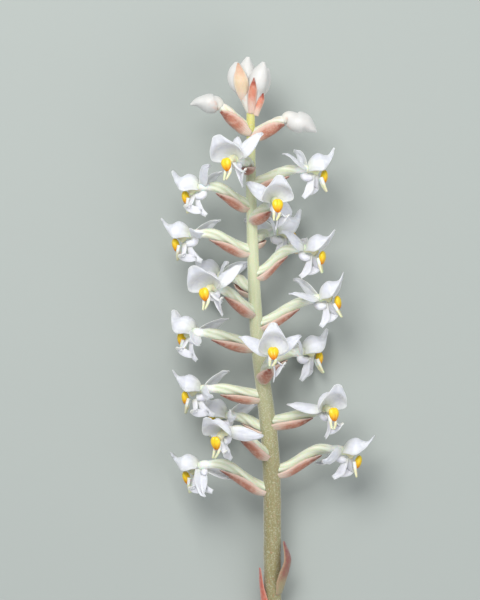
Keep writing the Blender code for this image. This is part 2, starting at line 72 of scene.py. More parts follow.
# Each open flower: the height at which it leaves the stem, the middle of the flower, the direction
# that it faces (degrees round the spike: 0 right, 90 up from the surface, 180 left, 270 down), its
# tilt towards the spike's tip, the lateral sepals on its own left and right, how far the hood is
# rolled up at its tip (up to 1) or spread open (down to -1), the swing and turn of its lip, and the
# roll of the whole flower. Each sepal has the angles by which it is lifted, swept back and twisted.
# Angles are in degrees.
Sepal = namedtuple("Sepal", "lift sweep twist")
Flower = namedtuple("Flower", "height x y z facing tilt left right curl swing turn roll", defaults=(0,))
FLOWERS = [
    Flower(148.8, -11.2, 150.4, 35.0, 122, 2, Sepal(34, -16, 0), Sepal(75, 8, 0), -0.9, 0, 15, 15),
    Flower(136.4, -22.0, 141.8, 22.0, 208, -12, Sepal(38, 8, 40), Sepal(24, -20, -25), 0.3, 0, 0),
    Flower(143.2, 10.5, 147.5, 22.0, 345, -4, Sepal(30, -28, 10), Sepal(36, 18, -22), 0.2, 0, 0),
    Flower(132.4, 0.6, 137.3, 34.2, 78, 6, Sepal(-24, 12, 0), Sepal(42, -4, 0), -0.3, 0, 0),
    Flower(122.4, -24.8, 127.2, 21.0, 199, -13, Sepal(-8, 0, 30), Sepal(20, 4, -30), 0.5, -10, 0),
    Flower(125.5, 1.0, 128.0, 10.0, 335, 0, Sepal(25, 0, 0), Sepal(25, 0, 0), 0.3, 0, 0),
    Flower(114.7, 10.1, 122.8, 20.0, 12, -8, Sepal(12, -16, 25), Sepal(28, -4, -10), 0.2, 0, 0),
    Flower(103.2, -18.0, 110.6, 30.0, 124, 0, Sepal(26, -8, -10), Sepal(30, 0, 20), -0.9, 0, 10, 19),
    Flower(110.0, -16.0, 114.5, 6.32, 205, 0, Sepal(25, 0, 0), Sepal(25, 0, 0), 0.3, 0, 0),
    Flower(93.0, -23.6, 97.0, 19.0, 219, -2, Sepal(-30, 4, 35), Sepal(24, -4, -32), 0.1, 0, 0),
    Flower(99.2, 14.4, 107.5, 19.0, 8, 6, Sepal(52, 8, 18), Sepal(16, 8, -42), 0.3, 0, 0),
    Flower(82.8, -0.2, 90.0, 32.5, 83, 23, Sepal(34, -36, -10), Sepal(30, -40, 0), 0.0, 0, 0),
    Flower(86.8, 9.3, 90.8, 6.32, 335, 0, Sepal(25, 0, 0), Sepal(25, 0, 0), 0.3, 0, 0),
    Flower(77.5, -21.5, 79.3, 17.0, 194, -8, Sepal(-16, -8, -15), Sepal(32, 4, -18), 0.9, -20, 0),
    Flower(66.6, -13.5, 71.0, 8.0, 205, 0, Sepal(-5, 0, 0), Sepal(25, 0, 0), 0.3, 0, 0),
    Flower(58.9, -14.2, 66.2, 27.5, 126, -16, Sepal(-18, -4, 0), Sepal(10, 8, 10), -0.2, 0, -10),
    Flower(69.1, 16.1, 73.1, 22.0, 58, 4, Sepal(14, 0, 30), Sepal(12, -4, -38), -0.2, 0, 0),
    Flower(48.0, -22.0, 55.4, 15.5, 205, -18, Sepal(-62, -32, 30), Sepal(-40, 0, 10), 0.9, -10, 0),
    Flower(53.6, 21.6, 60.2, 15.5, 2, -16, Sepal(-40, 0, 0), Sepal(-26, -12, -8), 0.7, 0, 0),
]

# Each side bud: its height on the stem, its midline and its radii along that
Bud = namedtuple("Bud", "name height midline radii")
SIDE_BUDS = [
    Bud(
        "bud_left",
        159.3,
        [
            (-16.3, 167.2, 21.0),
            (-18.4, 167.8, 21.3),
            (-20.6, 168.1, 21.4),
            (-23.0, 168.2, 21.4),
            (-25.3, 167.5, 21.0),
        ],
        (1.5, 2.4, 3.05, 1.8, 0.25),
    ),
    Bud(
        "bud_right",
        158.1,
        [
            (4.2, 163.0, 21.0),
            (7.2, 162.2, 21.3),
            (10.2, 161.6, 21.4),
            (12.4, 160.1, 21.2),
            (13.8, 159.0, 20.8),
        ],
        (1.5, 2.4, 3.3, 1.7, 0.25),
    ),
]

# The unopened buds at the tip, with three bracts in front of them
TIP_BUD_ROOT = Vector((-6.6, 166.3, 20.2))
TIP_BUD_RADII = (1.1, 2.6, 3.1, 2.4, 0.5)
TIP_BUDS = [
    [(-8.4, 171.5, 20.6), (-10.3, 174.8, 21.0), (-11.1, 177.8, 21.0), (-11.0, 180.7, 20.8)],
    [(-7.0, 172.0, 18.6), (-7.6, 175.6, 17.6), (-7.7, 179.2, 17.4), (-7.4, 182.4, 17.6)],
    [(-5.2, 171.5, 21.0), (-4.3, 174.6, 22.0), (-3.4, 177.6, 22.4), (-2.6, 180.7, 22.2)],
    [(-5.2, 171.0, 19.2), (-3.6, 173.6, 18.6), (-2.4, 176.2, 18.4), (-1.2, 178.8, 18.6)],
]
TipBract = namedtuple("TipBract", "name line half_widths")
TIP_BRACTS = [
    TipBract(
        "front",
        [(-6.5, 164.6, 21.6), (-6.3, 168.4, 23.6), (-5.9, 172.4, 25.3), (-5.6, 175.8, 25.5)],
        (0.9, 1.35, 1.3, 0.1),
    ),
    TipBract(
        "left",
        [(-7.8, 167.4, 20.8), (-9.0, 171.4, 23.7), (-9.8, 175.6, 24.7), (-10.5, 180.4, 22.4)],
        (0.9, 2.0, 2.2, 0.3),
    ),
    TipBract(
        "right",
        [(-5.0, 164.0, 21.4), (-4.4, 166.4, 22.3), (-3.5, 169.0, 22.7), (-2.7, 171.0, 22.3)],
        (0.8, 1.1, 1.2, 0.2),
    ),
]
TIP_BRACT_CUPS = (0.5, 0.9, 0.9, 0.05)

# The sheath bracts that clasp the lower stem: the direction that each faces (degrees round the
# spike), and along it the heights, the distances of its back from the middle of the stem, and the
# angles that it covers to each side
Sheath = namedtuple("Sheath", "name direction heights reaches covers")
SHEATHS = [
    Sheath(
        "sheath_bract_right",
        24,
        (15.5, 19.5, 22.5, 26.5, 32.0),
        (3.75, 4.3, 5.2, 5.8, 3.9),
        (46, 50, 42, 27, 8),
    ),
    Sheath(
        "sheath_bract_left",
        156,
        (5.0, 9.5, 14.0, 18.5, 23.6),
        (3.75, 3.75, 3.8, 4.2, 4.4),
        (60, 58, 42, 22, 7),
    ),
]

# The shape of one flower in its own frame, in millimetres: x forward, y to the flower's left, z
# towards the hood. The hood is given by its crest and by what leads from there to its lower edges.
OVARY_END = Vector((-2.4, 0, -0.3))
HOOD_CREST = [(0.2, 0, 0.9), (1.3, 0, 3.4), (3.3, 0, 5.0), (5.3, 0, 4.7), (7.1, 0, 5.0), (8.6, 0, 7.3)]
HoodForm = namedtuple("HoodForm", "half_widths turns sags")
PLAIN_HOOD = HoodForm(
    (1.2, 3.2, 4.5, 4.7, 3.6, 1.2),
    (70, 95, 100, 90, 70, 35),
    [(0.3, 0, -1.6), (0.6, 0, -3.8), (0.7, 0, -5.3), (0.1, 0, -4.0), (0, 0, -1.7), (-0.1, 0, -0.4)],
)
ROLLED_HOOD = HoodForm(
    (1.2, 3.2, 4.3, 3.9, 1.8, 0.6),
    (70, 95, 100, 95, 110, 110),
    [(0.3, 0, -1.6), (0.6, 0, -3.8), (0.7, 0, -5.3), (0.1, 0, -4.0), (0, 0, -1.6), (-0.1, 0, -0.3)],
)
OPEN_HOOD = HoodForm(
    (1.3, 3.6, 5.3, 5.7, 4.4, 1.8),
    (70, 90, 88, 76, 60, 40),
    [(0.3, 0, -1.6), (0.6, 0, -3.6), (0.7, 0, -4.7), (0.2, 0, -3.5), (0, 0, -1.5), (-0.1, 0, -0.5)],
)
SEPAL_REACH = [(0.2, 0.7), (-1.0, 2.8), (-2.4, 5.2), (-3.8, 7.4), (-5.2, 8.9), (-6.8, 9.4)]
SEPAL_HALF_WIDTHS = (1.1, 2.2, 2.3, 1.7, 0.9, 0.35)
SEPAL_CUPS = (0.4, 0.7, 0.7, 0.5, 0.2, 0.05)
SEPAL_SPLAY = 0.3
PETAL_TURNS = (math.radians(50),) * 6
SAC_LINE = [(-0.4, 0, -0.7), (-0.5, 0, -2.0), (0.5, 0.1, -2.6), (2.2, 0.2, -2.4)]
SAC_RADII = (0.9, 1.2, 1.2, 0.9)
CLAW_EDGES = [
    [(1.8, 0.1, -1.7), (2.0, 0.5, -4.0), (1.7, 0.8, -6.1), (0.9, 0.7, -7.6), (-0.2, 0.4, -8.9)],
    [(3.2, 0.2, -1.4), (3.5, 0.8, -2.7), (3.8, 1.6, -3.9), (4.1, 2.4, -4.8), (4.4, 3.2, -5.5)],
]
CLAW_HALF_WIDTHS = [(1.1, 1.1, 1.35, 1.0, 0.7), (1.0, 1.0, 1.0, 0.95, 0.9)]
CLAW_CUPS = (0.25,) * 5
CLAW_OUTWARD = Vector((0.3, 0.93, 0.2))
LIP_LINE = [(5.0, 3.9, -4.7), (4.4, 3.1, -5.4), (3.5, 2.2, -6.1), (2.3, 1.4, -6.8), (1.0, 0.8, -7.5)]
LIP_HALF_WIDTHS = (0.7, 1.15, 1.25, 1.1, 0.6)
LIP_CUPS = (0.15, 0.3, 0.25, 0.1, 0.05)
LIP_OUTWARD = Vector((0.45, 0.85, 0.3))
COLUMN_LINE = [(0.4, 0, 0.1), (2.2, 0, 0.1), (4.0, -0.2, -0.9)]
COLUMN_RADII = (1.25, 1.4, 1.15, 1.15)
COLUMN_UP = Vector((0, 0.2, 1))
BEAK_LINES = [
    [(4.8, 0.5, -2.2), (5.8, 0.35, -4.6), (6.8, -0.9, -6.6)],
    [(4.8, -1.1, -2.2), (5.8, -1.4, -4.6), (6.8, -1.7, -6.6)],
]
BEAK_RADII = (0.6, 0.5, 0.3)
ANTHER_CENTRE = Vector((5.95, -0.2, -1.95))
ANTHER_HALF_SIZES = Vector((1.1, 2.1, 2.2))
ANTHER_TAPER = 0.4

# Finer sizes that only the eye needs, in millimetres
PETAL_THICKNESS = 0.45
RIM_THICKNESS = 0.16
BRACT_THICKNESS = 0.35
BRACT_INSET = 0.4
SHEATH_INSET = 0.8
ROOT_SUNK = 1.6
SUNK = 0.6
NECK = 1.1
MERGED = 1e-4

# A petal thins to its rim from these shares of the way out to its side and up to its tip
THINS_ACROSS = 0.55
THINS_ALONG = 0.8

# Relief: heights in millimetres, and widths and places as shares of the way from middle to side
KEEL_WIDTH = 0.12
HOOD_KEEL = 0.10
HOOD_SEAM = 0.36
HOOD_SEAM_SPREAD = 0.1
HOOD_FURROW = 0.14
HOOD_FURROW_WIDTH = 0.05
HOOD_WAVE = 0.22
HOOD_EDGE_WAVE = 0.25
HOOD_EDGE = 0.6
HOOD_ROUNDNESS = 0.85
SEPAL_KEEL = 0.12
SEPAL_WAVE = 0.3
BRACT_WAVE = 0.15

# Relief of the round pieces, as shares of their radius, and how many ribs the stem has
STEM_RIBS = 7
STEM_RIDGE = 0.02
STEM_LUMPS = 0.03
ANTHER_FURROW = 0.16
ANTHER_FURROW_WIDTH = 0.16
ANTHER_FURROW_ENDS = 0.6
SIDE_BUD_FOLDS = 0.07
TIP_BUD_FOLDS = 0.06

# The faces of each piece, across or round it and along it
HOOD_FACES = (36, 34)
SEPAL_FACES = (20, 30)
LIP_FACES = (18, 26)
CLAW_FACES = (10, 22)
SAC_FACES = (18, 20)
COLUMN_FACES = (20, 22)
BEAK_FACES = (10, 12)
STEM_FACES = (40, 260)
OVARY_FACES = (24, 30)
BRACT_FACES = (16, 26)
SHEATH_FACES = (30, 40)
SIDE_BUD_FACES = (36, 44)
TIP_BUD_FACES = (32, 40)
ANTHER_RINGS = 20

# The hairs: how many, their radius and shortest and longest length in millimetres, and how far a
# hair leans at random for each millimetre of its length
STEM_HAIRS = 34000
HAIRS_PER_OVARY = 1000
HAIRY_PART_OF_OVARY = (0.1, 1.0)
HAIR_RADIUS = 0.06
HAIR_SIDES = 3
HAIR_LENGTHS = (0.35, 0.8)
HAIR_LEAN = 0.25
HAIR_SEED = 7

# Colours as a screen shows them, in red, green and blue from 0 to 255
SCREEN_WHITE = 255
SCREEN_GAMMA = 2.2
Tones = namedtuple("Tones", "base body tip rim")
# Petal and lip: the body's cool grey is their white with painted shade, and the rim tone along the edges is
# a painted highlight
PETAL_WHITE = Tones((222, 225, 212), (221, 222, 231), (240, 240, 240), (250, 252, 250))
LIP_WHITE = Tones((228, 228, 214), (232, 230, 238), (240, 246, 236), (250, 252, 250))
BRACT_BROWN = Tones((224, 203, 184), (180, 116, 92), (140, 72, 50), (228, 202, 184))
BRACT_RED = Tones((238, 208, 190), (220, 140, 112), (150, 52, 28), (236, 206, 188))
BRACT_OCHRE = Tones((230, 206, 186), (222, 198, 162), (214, 166, 136), (236, 222, 202))
SHEATH_MAROON = Tones((168, 156, 116), (152, 96, 80), (132, 50, 50), (178, 150, 118))
SHEATH_SCARLET = Tones((216, 178, 160), (206, 96, 70), (190, 62, 36), (220, 150, 128))
Ribbed = namedtuple("Ribbed", "furrow ridge")
OVARY_GREENS = Ribbed((204, 211, 178), (222, 226, 203))
BUD_STALK_CREAMS = Ribbed((216, 214, 186), (228, 222, 206))
OVARY_END_WHITE = (234, 236, 226)
COLUMN_GREENS = ((218, 220, 168), (232, 230, 200))
COLUMN_BASE_WHITE = (238, 239, 232)
ANTHER_YELLOWS = ((250, 205, 8), (255, 222, 60))
ANTHER_ORANGE = (220, 126, 2)
LOWER_STEM_OLIVES = ((130, 123, 80), (160, 152, 110))
UPPER_STEM_GREENS = ((190, 197, 150), (208, 213, 182))
STEM_TIP_YELLOW = (208, 204, 118)
STEM_SPECK = (208, 206, 182)
STEM_FLECK = (172, 122, 92)
BUD_WHITES = ((224, 222, 216), (210, 209, 204))
BUD_BASE_CREAM = (228, 225, 212)
BUD_BLUSH = (230, 176, 150)
HAIR_WHITES = ((232, 240, 224), (255, 255, 250))
FLOOR_GREY = (168, 174, 168)

# Veins of petals and bracts and ribs of ovaries, as radians of a wave from side to side
PETAL_VEINS = 64.0
BRACT_VEINS = 70.0
OVARY_RIBS = 12 * math.pi

# The places of the materials on a flower and on the stem
PETAL_SKIN, LIP_SKIN, COLUMN_SKIN = range(3)
STEM_SKIN, OVARY_SKIN, BUD_STALK_SKIN = range(3)

# The sockets of a Mix node that mixes colours
MIX_FACTOR, MIX_FIRST, MIX_SECOND, MIX_RESULT = 0, 6, 7, 2

# Lights, floor and dome, with places and sizes in metres and energies in watts
Light = namedtuple("Light", "name place size energy")
LIGHTS = [
    Light("key_light", (-0.2, 0.45, 0.75), 0.5, 7.0),
    Light("fill_light", (0.5, -0.35, 0.7), 0.8, 3.2),
]
FLOOR_SIZE = 5.0
DOME_COLOUR = (0.86, 0.90, 1.0, 1)
DOME_STRENGTH = 0.42

# The photograph's frame: its size and the spike's origin in pixels, a pixel's real size in
# millimetres, and the height of the plane that has this size
PHOTO_SIZE = (480, 600)
SPIKE_ORIGIN_PIXEL = (272, 645)
PIXEL = 0.31
PICTURE_PLANE = 20.0

# The camera's lens and sensor, in metres
LENS = 0.6
SENSOR = 0.036

# The share of a line over which its direction is taken, and the rounds of a search along it
SMALL_STEP = 0.01
HALVINGS = 30

UP_THE_SPIKE = Vector((0, 1, 0))
UP = Vector((0, 0, 1))


def along(stations, share):
    """The value at a share of the way along a smooth curve through numbers or vectors."""
    spans = len(stations) - 1
    span = min(int(share * spans), spans - 1)
    t = share * spans - span
    here, there = stations[span], stations[span + 1]
    before = stations[span - 1] if span else here * 2 - there
    after = stations[span + 2] if span + 2 <= spans else there * 2 - here
    return (
        here
        + (there - before) * (t / 2)
        + (before * 2 - here * 5 + there * 4 - after) * (t * t / 2)
        + (here * 3 - before - there * 3 + after) * (t * t * t / 2)
    )


def heading(line, share):
    ahead = along(line, min(share + SMALL_STEP, 1))
    return (ahead - along(line, max(share - SMALL_STEP, 0))).normalized()


def stem_share(height):
    """The share of the stem's line at a height above the cut end."""
    low, high = 0.0, 1.0
    for _ in range(HALVINGS):
        middle = (low + high) / 2
        if along(STEM_LINE, middle).y < height:
            low = middle
        else:
            high = middle
    return low


def vectors(points):
    return [Vector(point) for point in points]


def blend(first, second, share):
    """Values between those of two lists of numbers or vectors."""
    return [a + (b - a) * share for a, b in zip(first, second)]


def smooth_step(low, high, value):
    share = min(max((value - low) / (high - low), 0), 1)
    return share * share * (3 - 2 * share)


def sheet(faces):
    """A flat grid with its own UV map, and each corner's shares of the way across and along."""
    across, steps = faces
    mesh = bmesh.new()
    mesh.loops.layers.uv.new("spread")
    bmesh.ops.create_grid(mesh, x_segments=across, y_segments=steps, size=0.5, calc_uvs=True)
    mesh.verts.index_update()
    return mesh, [(vertex.co.x + 0.5, vertex.co.y + 0.5) for vertex in mesh.verts]


def thicken(mesh, depth_at):
    """Gives a sheet its thickness: a second face at a depth, which may differ from corner to corner."""
    mesh.normal_update()
    number = mesh.verts.layers.int.new("number")
    for vertex in mesh.verts:
        vertex[number] = vertex.index
    inner = [vertex.co + vertex.normal * depth_at[vertex.index] for vertex in mesh.verts]
    grown = bmesh.ops.extrude_face_region(mesh, geom=mesh.faces[:], use_keep_orig=True)
    for vertex in grown["geom"]:
        if isinstance(vertex, bmesh.types.BMVert):
            vertex.co = inner[vertex[number]]
    mesh.verts.layers.int.remove(number)
    bmesh.ops.recalc_face_normals(mesh, faces=mesh.faces)


def petal(line, half_widths, sags, turns, outward, faces, thickness, relief=None, roundness=1.0):
    """A petal along a line. Each cross-section is an arc, from the line down to its edges. The
    relief, if given, lifts a place on it (from -1 to 1 across, from 0 to 1 along) off its surface."""
    steps = faces[1]
    rows = []
    for step in range(steps + 1):
        share = step / steps
        side = outward.cross(heading(line, share)).normalized()
        rows.append(
            (along(line, share), side * along(half_widths, share), along(sags, share), along(turns, share))
        )
    mesh, shares = sheet(faces)
    for vertex in mesh.verts:
        side_share, share = shares[vertex.index]
        middle, reach, sag, turn = rows[round(share * steps)]
        angle = (side_share * 2 - 1) * turn
        out = math.sin(angle) / math.sin(min(turn, math.pi / 2))
        out = math.copysign(abs(out) ** roundness, out)
        drop = (1 - math.cos(angle)) / (1 - math.cos(turn))
        vertex.co = middle + reach * out + sag * drop
    mesh.normal_update()
    if relief:
        lifts = [relief(side_share * 2 - 1, share) for side_share, share in shares]
        moved = [vertex.co - vertex.normal * lifts[vertex.index] for vertex in mesh.verts]
        for vertex in mesh.verts:
            vertex.co = moved[vertex.index]
    depths = []
    for side_share, share in shares:
        sideways = smooth_step(THINS_ACROSS, 1, abs(side_share * 2 - 1))
        thinned = max(sideways, smooth_step(THINS_ALONG, 1, share))
        depths.append(thickness + (RIM_THICKNESS - thickness) * thinned)
    thicken(mesh, depths)
    return mesh


def rod_surface(line, radii, reference, shape=None, twist=0.0):
    """A function from shares of the way round and along to a place on a rod. The shape, if given, is
    the factor on the radius by the angle round the rod and the share along it."""

    def surface(round_share, share):
        forward = heading(line, share)
        side = reference.cross(forward).normalized()
        upper = forward.cross(side)
        angle = math.tau * round_share
        turn = angle + twist * share
        radius = along(radii, share) * (shape(angle, share) if shape else 1)
        return along(line, share) + (side * math.cos(turn) + upper * math.sin(turn)) * radius

    return surface


def rod(surface, faces):
    """A closed round body over a surface function, with its own UV map."""
    mesh, shares = sheet(faces)
    for vertex in mesh.verts:
        vertex.co = surface(*shares[vertex.index])
    bmesh.ops.remove_doubles(mesh, verts=mesh.verts, dist=MERGED)
    rims = [edge for edge in mesh.edges if edge.is_boundary]
    bmesh.ops.holes_fill(mesh, edges=rims, sides=0)
    bmesh.ops.recalc_face_normals(mesh, faces=mesh.faces)
    return mesh


def ball(rings):
    """A ball of radius 1, with a UV map from one side to the other and from bottom to top."""
    mesh = bmesh.new()
    mesh.loops.layers.uv.new("spread")
    bmesh.ops.create_uvsphere(mesh, u_segments=rings * 2, v_segments=rings, radius=1, calc_uvs=True)
    return mesh


def painted(mesh, material_index):
    for face in mesh.faces:
        face.material_index = material_index
    return mesh


def join(name, meshes, materials, place=None):
    """Joins meshes made in millimetres in one piece of the scene, in metres, shaded smooth."""
    whole = bmesh.new()
    whole.loops.layers.uv.new("spread")
    for mesh in meshes:
        data = bpy.data.meshes.new("part")
        mesh.to_mesh(data)
        mesh.free()
        whole.from_mesh(data)
        bpy.data.meshes.remove(data)
    if place:
        bmesh.ops.transform(whole, matrix=place, verts=whole.verts)
    bmesh.ops.translate(whole, vec=-BOX_MIDDLE, verts=whole.verts)
    bmesh.ops.scale(whole, vec=(MM, MM, MM), verts=whole.verts)
    for face in whole.faces:
        face.smooth = True
    data = bpy.data.meshes.new(name)
    whole.to_mesh(data)
    whole.free()
    piece = bpy.data.objects.new(name, data)
    for material in materials:
        data.materials.append(material)
    bpy.context.scene.collection.objects.link(piece)
    return piece


def dress(piece, node):
    """The piece stands for a solid: it hangs from the root body, and the solid is hidden."""
    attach(piece, "root")
    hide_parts(node)


class Paint:
    """A material in the making. Each call adds a node and gives back what comes out of it."""

    def __init__(self, name, **constants):
        self.material = bpy.data.materials.new(name)
        self.material.use_nodes = True
        self.tree = self.material.node_tree
        self.shader = self.tree.nodes["Principled BSDF"]
        for socket, value in constants.items():
            self.shader.inputs[socket.replace("_", " ")].default_value = value

    def node(self, kind, inputs=(), output=0, **settings):
        node = self.tree.nodes.new(kind)
        for setting, value in settings.items():
            setattr(node, setting, value)
        for socket, value in dict(inputs).items():
            if isinstance(value, bpy.types.NodeSocket):
                self.tree.links.new(value, node.inputs[socket])
            else:
                node.inputs[socket].default_value = value
        return node.outputs[output]

    def spread(self):
        """The shares of the way across and along the piece, from its UV map."""
        uv = self.node("ShaderNodeUVMap", uv_map="spread")
        parts = self.node("ShaderNodeSeparateXYZ", {"Vector": uv}).node
        return parts.outputs["X"], parts.outputs["Y"]

    def from_middle(self, across):
        """0 along the middle of a piece, rising to 0.5 at its sides."""
        return self.math("ABSOLUTE", self.math("SUBTRACT", across, 0.5))

    def waves(self, across, radians):
        """Waves from side to side of a piece, between -1 and 1."""
        return self.math("SINE", self.math("MULTIPLY", across, radians))

    def place(self, stretch=(1, 1, 1)):
        place = self.node("ShaderNodeTexCoord", output="Object")
        return self.node("ShaderNodeMapping", {"Vector": place, "Scale": stretch})

    def noise(self, size, detail=2.0, stretch=(1, 1, 1)):
        """Soft noise with patches of a size in millimetres."""
        inputs = {"Vector": self.place(stretch), "Scale": 1 / (size * MM), "Detail": detail}
        return self.node("ShaderNodeTexNoise", inputs)

    def beads(self, size):
        """Round beads, like the swollen cells of a petal's skin."""
        inputs = {"Vector": self.place(), "Scale": 1 / (size * MM)}
        return self.node("ShaderNodeTexVoronoi", inputs)

    def math(self, operation, first, second=0.0):
        return self.node("ShaderNodeMath", {0: first, 1: second}, operation=operation)

    def band(self, value, off, full):
        """Rises smoothly from 0 where the value is off to 1 where it is full."""
        inputs = {"Value": value, "From Min": off, "From Max": full}
        return self.node("ShaderNodeMapRange", inputs, interpolation_type="SMOOTHSTEP")

    def mix(self, factor, first, second):
        """From the first colour to the second. A colour comes from a node, or as a screen shows it."""
        colours = [rgb(colour) if isinstance(colour, tuple) else colour for colour in (first, second)]
        inputs = {MIX_FACTOR: factor, MIX_FIRST: colours[0], MIX_SECOND: colours[1]}
        return self.node("ShaderNodeMix", inputs, output=MIX_RESULT, data_type="RGBA")

    def layer(self, under, over, where, amount):
        """One colour over another where a value is 1, and there only by an amount."""
        return self.mix(self.math("MULTIPLY", where, amount), under, over)

    def colour(self, value):
        self.tree.links.new(value, self.shader.inputs["Base Color"])

    def bump(self, height, distance, strength, under=None):
        """Relief of a height in millimetres, over the relief under it."""
        inputs = {"Height": height, "Distance": distance * MM, "Strength": strength}
        if under:
            inputs["Normal"] = under
        normal = self.node("ShaderNodeBump", inputs)
        self.tree.links.new(normal, self.shader.inputs["Normal"])
        return normal


def rgb(colour):
    """A colour for a shader, from its values as a screen shows them."""
    return (*[(value / SCREEN_WHITE) ** SCREEN_GAMMA for value in colour], 1)


def white_petal(name, tones):
    """White, greyed by painted shade, with a painted highlight on its rim, a tint towards its base and tip,
    and a skin of fine beads.
    """
    paint = Paint(
        name,
        Roughness=0.42,
        Subsurface_Weight=0.8,
        Subsurface_Radius=(1.0, 0.95, 0.9),
        Subsurface_Scale=0.0012,
        Specular_IOR_Level=0.35,
        Sheen_Weight=0.15,
    )
    across, lengthwise = paint.spread()
    veins = paint.waves(across, PETAL_VEINS)
    # The cool grey body tone holds painted shade
    shade = paint.layer(tones.body, tones.base, paint.band(veins, off=0.3, full=1.0), amount=0.10)
    patches = paint.band(paint.noise(size=2.6), off=0.40, full=0.68)
    shade = paint.layer(shade, tones.rim, patches, amount=0.35)
    shade = paint.mix(paint.band(lengthwise, off=0.34, full=0.02), shade, tones.base)
    shade = paint.layer(shade, tones.tip, paint.band(lengthwise, off=0.86, full=1.0), amount=0.5)
    # Painted highlight: the rim tone laid along the sides and the tip
    sides = paint.band(paint.from_middle(across), off=0.42, full=0.49)
    edge = paint.math("MAXIMUM", sides, paint.band(lengthwise, off=0.95, full=1.0))
    paint.colour(paint.layer(shade, tones.rim, edge, amount=0.8))
    skin = paint.bump(paint.beads(size=0.24), distance=0.05, strength=0.5)
    paint.bump(veins, distance=0.03, strength=0.35, under=skin)
    return paint.material


def column_green():
    """White at the base, then a pale yellowish green, with a skin of fine beads."""
    paint = Paint("column_green", Roughness=0.4, Subsurface_Weight=0.3, Subsurface_Scale=0.0012)
    _, lengthwise = paint.spread()
    greenish = paint.mix(paint.noise(size=1.2), *COLUMN_GREENS)
    paint.colour(paint.mix(paint.band(lengthwise, off=0.25, full=0.6), COLUMN_BASE_WHITE, greenish))
    paint.bump(paint.beads(size=0.2), distance=0.03, strength=0.4)
    return paint.material


def anther_yellow():
    """Bright yellow at the top and deep orange towards the beak, with a waxy skin."""
    paint = Paint("anther_yellow", Roughness=0.35, Subsurface_Weight=0.25, Subsurface_Scale=0.0008)
    _, upward = paint.spread()
    yellow = paint.mix(paint.noise(size=0.5), *ANTHER_YELLOWS)
    paint.colour(paint.mix(paint.band(upward, off=0.62, full=0.12), yellow, ANTHER_ORANGE))
    paint.bump(paint.noise(size=0.25, detail=3.0), distance=0.06, strength=0.4)
    return paint.material


def ribbed_skin(name, colours):
    """Furrows with paler ridges, white towards the flower, under a felt of fine hairs."""
    paint = Paint(
        name,
        Roughness=0.55,
        Subsurface_Weight=0.2,
        Subsurface_Scale=0.001,
        Sheen_Weight=0.5,
        Sheen_Roughness=0.4,
    )
    across, lengthwise = paint.spread()
    furrows = paint.band(paint.waves(across, OVARY_RIBS), off=-0.5, full=0.9)
    shade = paint.mix(furrows, colours.ridge, colours.furrow)
    patches = paint.band(paint.noise(size=1.4), off=0.45, full=0.75)
    shade = paint.layer(shade, colours.ridge, patches, amount=0.5)
    paint.colour(paint.mix(paint.band(lengthwise, off=0.8, full=1.0), shade, OVARY_END_WHITE))
    paint.bump(paint.noise(size=0.35, detail=3.0), distance=0.08, strength=0.5)
    return paint.material


def stem_green():
    """Yellow near the tip, then pale green, and olive with streaks and reddish flecks lower down."""
    paint = Paint(
        "stem_green",
        Roughness=0.55,
        Subsurface_Weight=0.15,
        Subsurface_Scale=0.001,
        Sheen_Weight=0.6,
        Sheen_Roughness=0.4,
    )
    _, lengthwise = paint.spread()
    streaks = paint.noise(size=0.9, detail=3.0, stretch=(1, 0.12, 1))
    lower = paint.mix(streaks, *LOWER_STEM_OLIVES)
    upper = paint.mix(streaks, *UPPER_STEM_GREENS)
    shade = paint.mix(paint.band(lengthwise, off=0.3, full=0.75), lower, upper)
    shade = paint.mix(paint.band(lengthwise, off=0.86, full=0.98), shade, STEM_TIP_YELLOW)
    specks = paint.band(paint.noise(size=0.45, detail=1.0), off=0.52, full=0.66)
    shade = paint.layer(shade, STEM_SPECK, specks, amount=0.4)
    flecks = paint.band(paint.noise(size=0.7, stretch=(1, 0.5, 1)), off=0.60, full=0.72)
    low_flecks = paint.math("MULTIPLY", flecks, paint.band(lengthwise, off=0.75, full=0.1))
    paint.colour(paint.layer(shade, STEM_FLECK, low_flecks, amount=0.6))
    paint.bump(paint.noise(size=0.3, detail=3.0, stretch=(1, 0.4, 1)), distance=0.1, strength=0.5)
    return paint.material


def bract_skin(name, tones):
    """A papery bract with fine lengthwise veins, a paler rim and a darker tip."""
    paint = Paint(
        name,
        Roughness=0.6,
        Subsurface_Weight=0.15,
        Subsurface_Scale=0.0006,
        Sheen_Weight=0.3,
    )
    across, lengthwise = paint.spread()
    shade = paint.mix(paint.band(lengthwise, off=0.16, full=0.5), tones.base, tones.body)
    shade = paint.mix(paint.band(lengthwise, off=0.6, full=0.92), shade, tones.tip)
    veins = paint.waves(across, BRACT_VEINS)
    shade = paint.layer(shade, tones.tip, paint.band(veins, off=0.1, full=1.0), amount=0.25)
    patches = paint.band(paint.noise(size=1.1), off=0.4, full=0.7)
    shade = paint.layer(shade, tones.base, patches, amount=0.3)
    sides = paint.band(paint.from_middle(across), off=0.3, full=0.5)
    paint.colour(paint.layer(shade, tones.rim, sides, amount=0.8))
    grain = paint.bump(paint.noise(size=0.3, detail=3.0), distance=0.06, strength=0.4)
    paint.bump(veins, distance=0.04, strength=0.5, under=grain)
    return paint.material


def bud_skin():
    """Cream white, a little warmer at the base and faintly pink in patches."""
    paint = Paint(
        "bud_cream",
        Roughness=0.45,
        Subsurface_Weight=0.35,
        Subsurface_Radius=(1.0, 0.9, 0.85),
        Subsurface_Scale=0.0012,
        Sheen_Weight=0.3,
    )
    _, lengthwise = paint.spread()
    white = paint.mix(paint.noise(size=2.0), *BUD_WHITES)
    shade = paint.mix(paint.band(lengthwise, off=0.3, full=0.04), white, BUD_BASE_CREAM)
    patches = paint.band(paint.noise(size=3.2), off=0.55, full=0.72)
    low_patches = paint.math("MULTIPLY", patches, paint.band(lengthwise, off=0.8, full=0.3))
    paint.colour(paint.layer(shade, BUD_BLUSH, low_patches, amount=0.5))
    paint.bump(paint.beads(size=0.25), distance=0.05, strength=0.4)
    return paint.material


